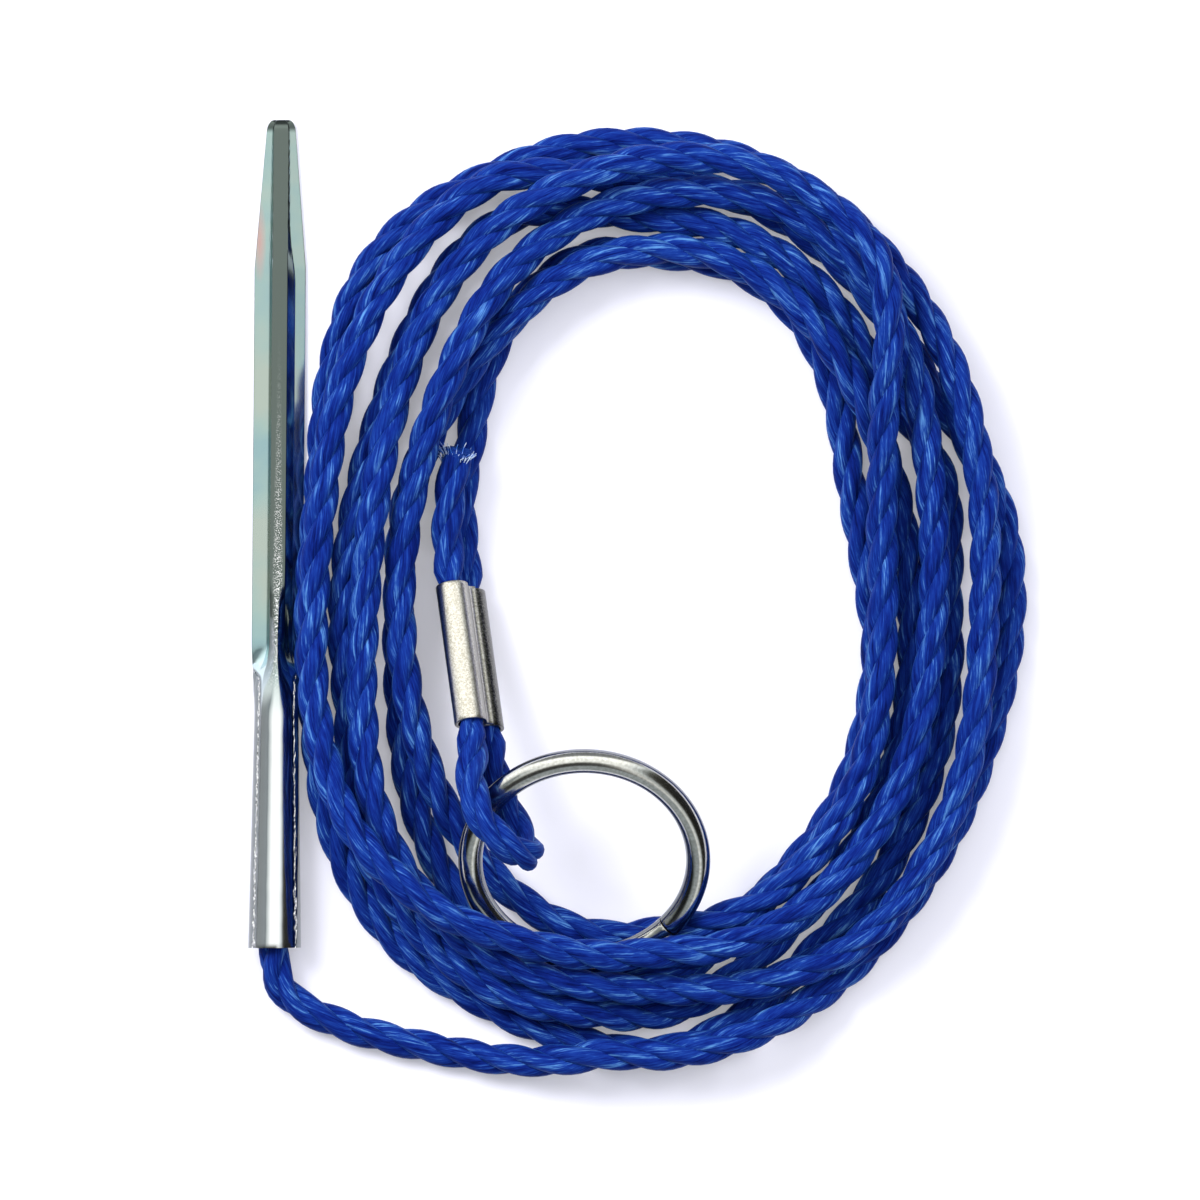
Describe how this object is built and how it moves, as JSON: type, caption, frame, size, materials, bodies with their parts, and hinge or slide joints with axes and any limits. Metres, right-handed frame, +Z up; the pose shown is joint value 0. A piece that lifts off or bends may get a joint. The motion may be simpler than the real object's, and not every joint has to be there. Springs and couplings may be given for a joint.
{
  "type": "fish stringer",
  "caption": "Blue laid-rope fish stringer, coiled: a folded sheet-steel threading needle on one end and a wire ring in a crimped rope eye on the other.",
  "frame": {"origin": "on the surface it lies on, under the middle of the box round the needle, the sleeve and the ring", "axes": "+Y along the needle towards its tip, +X from the needle to the ring, +Z up"},
  "size_m": [0.0971, 0.1195, 0.0226],
  "materials": {
    "needle_zinc": "zinc plated and clear-blue passivated sheet steel, smooth satin",
    "rope_blue": "three-strand laid polypropylene rope with fine filaments",
    "sleeve_tin": "tin or nickel plated strip, crinkled by the crimp",
    "ring_zinc": "bright zinc plated drawn wire"
  },
  "bodies": {
    "stringer": {"needle": "needle_zinc", "rope_lead": "rope_blue", "rope_coil": "rope_blue", "rope_eye": "rope_blue", "crimp_sleeve": "sleeve_tin"},
    "ring": {"ring": "ring_zinc"}
  },
  "joints": [
    {"name": "ring_turn", "type": "hinge", "parent": "stringer", "child": "ring", "pos_m": [0.01316, -0.03931, 0.01202], "axis": [0, -0.4939, 0.8695], "continuous": true}
  ]
}
